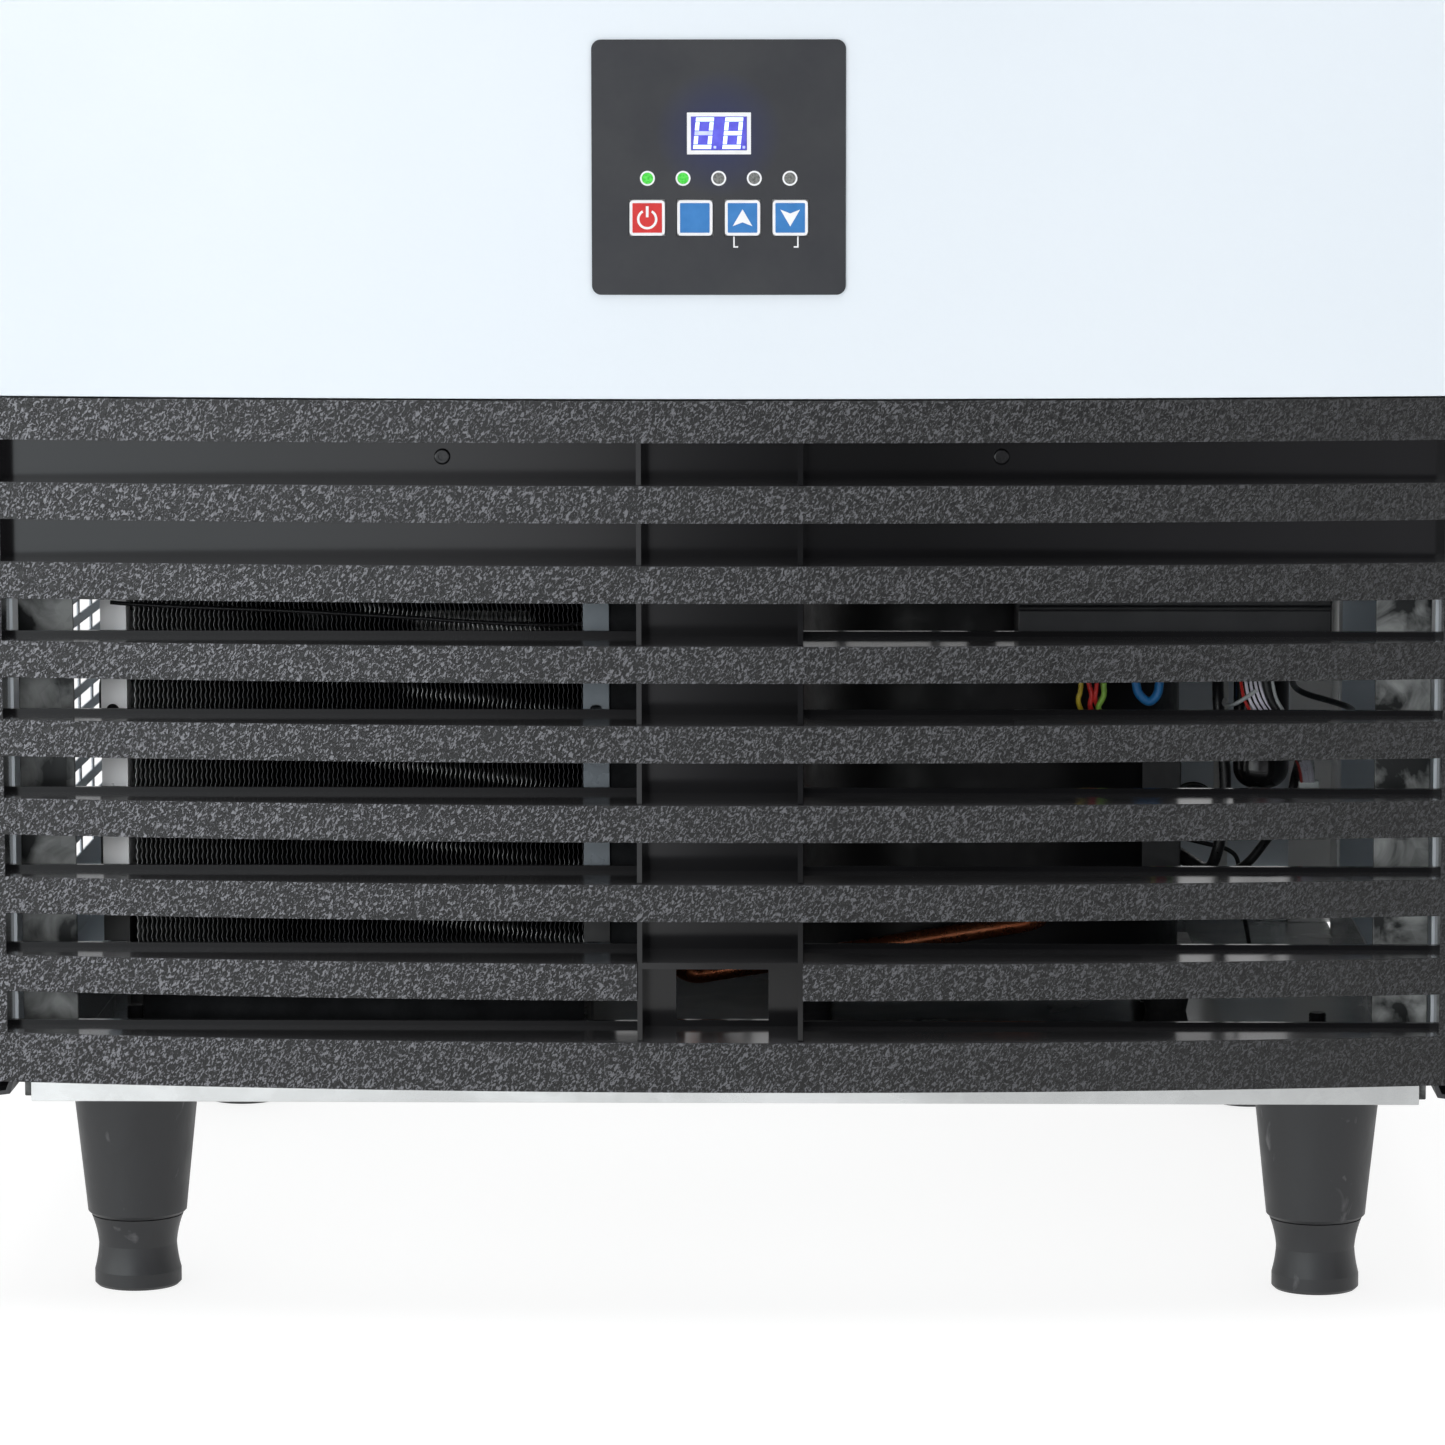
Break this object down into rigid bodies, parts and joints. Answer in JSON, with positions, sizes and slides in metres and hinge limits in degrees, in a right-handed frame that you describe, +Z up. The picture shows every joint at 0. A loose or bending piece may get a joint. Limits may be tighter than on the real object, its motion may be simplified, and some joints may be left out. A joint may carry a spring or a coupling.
{
  "type": "undercounter ice maker",
  "caption": "Free-standing undercounter ice maker: bowed front with a control plate, louvred intake grille, top-hung bin door and screw-in feet.",
  "frame": {"origin": "middle of the bounding box on the floor", "axes": "+Z up, the front faces -Y, +X to the right as seen from the front"},
  "size_m": [0.5, 0.488, 0.8],
  "materials": {
    "white_steel": "satin white enamel",
    "white_plastic": "smooth white",
    "grille_plastic": "fine leather grain on the slat faces, glossy behind",
    "leg_plastic": "satin charcoal",
    "black_plastic": "satin",
    "galvanised_steel": "mottled zinc",
    "foam": "closed-cell foam",
    "door_core": "foam with a white face",
    "gasket": "soft matt",
    "overlay": "fine matt charcoal",
    "circuit_board": "lacquered",
    "lamp_lens": "clear",
    "key_red": "printed",
    "key_blue": "printed",
    "fins": "bright, wavy",
    "copper_tube": "drawn copper",
    "compressor_enamel": "gloss black",
    "motor_steel": "plain",
    "screw_steel": "zinc plated",
    "black_rubber": "matt",
    "valve_plastic": "plain",
    "lamp": "frosted",
    "wire": "black sleeve"
  },
  "bodies": {
    "cabinet": {"front_panel": "white_steel", "side_panel_left": "white_steel", "side_panel_right": "white_steel", "rear_panel": "white_steel", "top_cover": "white_plastic", "bin_liner": "white_plastic", "water_trough": "white_plastic", "water_distributor": "white_plastic", "intake_grille": "grille_plastic", "leg_sleeves": "leg_plastic", "side_trims": "black_plastic", "control_housing": "black_plastic", "electric_box": "black_plastic", "terminal_cover": "black_plastic", "run_capacitor": "black_plastic", "cord_gland": "black_plastic", "fan_shroud": "black_plastic", "water_pump": "black_plastic", "bin_probe": "black_plastic", "base_pan": "galvanised_steel", "corner_posts": "galvanised_steel", "machine_deck": "galvanised_steel", "condenser_end_plates": "galvanised_steel", "hinge_brackets": "galvanised_steel", "bin_insulation": "foam", "control_overlay": "overlay", "control_board": "circuit_board", "indicator_lamps": "lamp_lens", "condenser_fins": "fins", "evaporator": "fins", "condenser_tubes": "copper_tube", "filter_drier": "copper_tube", "refrigerant_pipes": "copper_tube", "hot_gas_valve": "copper_tube", "evaporator_coil": "copper_tube", "compressor": "compressor_enamel", "fan_motor": "motor_steel", "grille_screws": "screw_steel", "compressor_grommets": "black_rubber", "suction_pipe": "black_rubber", "drain_hose": "black_rubber", "pump_hose": "black_rubber", "water_valve": "valve_plastic", "bin_light": "lamp", "wiring_harness": "wire"},
    "door": {"door_skin": "white_steel", "door_liner": "door_core", "door_end_rails": "black_plastic", "door_gasket": "gasket", "door_grip": "black_plastic"},
    "curtain": {"splash_curtain": "white_plastic"},
    "fan": {"fan_blades": "black_plastic"},
    "foot_front_left": {"foot_front_left": "leg_plastic"},
    "foot_front_right": {"foot_front_right": "leg_plastic"},
    "foot_rear_left": {"foot_rear_left": "leg_plastic"},
    "foot_rear_right": {"foot_rear_right": "leg_plastic"},
    "key_power": {"key_power": "key_red"},
    "key_light": {"key_light": "key_blue"},
    "key_up": {"key_up": "key_blue"},
    "key_down": {"key_down": "key_blue"}
  },
  "joints": [
    {"name": "door_hinge", "type": "hinge", "parent": "cabinet", "child": "door", "pos_m": [0, -0.2, 0.79], "axis": [-1, 0, 0], "range_deg": [0, 80]},
    {"name": "curtain_hinge", "type": "hinge", "parent": "cabinet", "child": "curtain", "pos_m": [0, 0.1232, 0.743], "axis": [-1, 0, 0], "range_deg": [0, 30]},
    {"name": "fan_spin", "type": "hinge", "parent": "cabinet", "child": "fan", "pos_m": [-0.1245, -0.0754, 0.189], "axis": [0, 1, 0], "continuous": true},
    {"name": "foot_front_left_screw", "type": "slide", "parent": "cabinet", "child": "foot_front_left", "axis": [0, 0, -1], "range_m": [0, 0.012]},
    {"name": "foot_front_right_screw", "type": "slide", "parent": "cabinet", "child": "foot_front_right", "axis": [0, 0, -1], "range_m": [0, 0.012]},
    {"name": "foot_rear_left_screw", "type": "slide", "parent": "cabinet", "child": "foot_rear_left", "axis": [0, 0, -1], "range_m": [0, 0.012]},
    {"name": "foot_rear_right_screw", "type": "slide", "parent": "cabinet", "child": "foot_rear_right", "axis": [0, 0, -1], "range_m": [0, 0.012]},
    {"name": "key_power_press", "type": "slide", "parent": "cabinet", "child": "key_power", "axis": [0, 1, 0], "range_m": [0, 0.0004], "stiffness_N_per_m": 3750},
    {"name": "key_light_press", "type": "slide", "parent": "cabinet", "child": "key_light", "axis": [0, 1, 0], "range_m": [0, 0.0004], "stiffness_N_per_m": 3750},
    {"name": "key_up_press", "type": "slide", "parent": "cabinet", "child": "key_up", "axis": [0, 1, 0], "range_m": [0, 0.0004], "stiffness_N_per_m": 3750},
    {"name": "key_down_press", "type": "slide", "parent": "cabinet", "child": "key_down", "axis": [0, 1, 0], "range_m": [0, 0.0004], "stiffness_N_per_m": 3750}
  ]
}
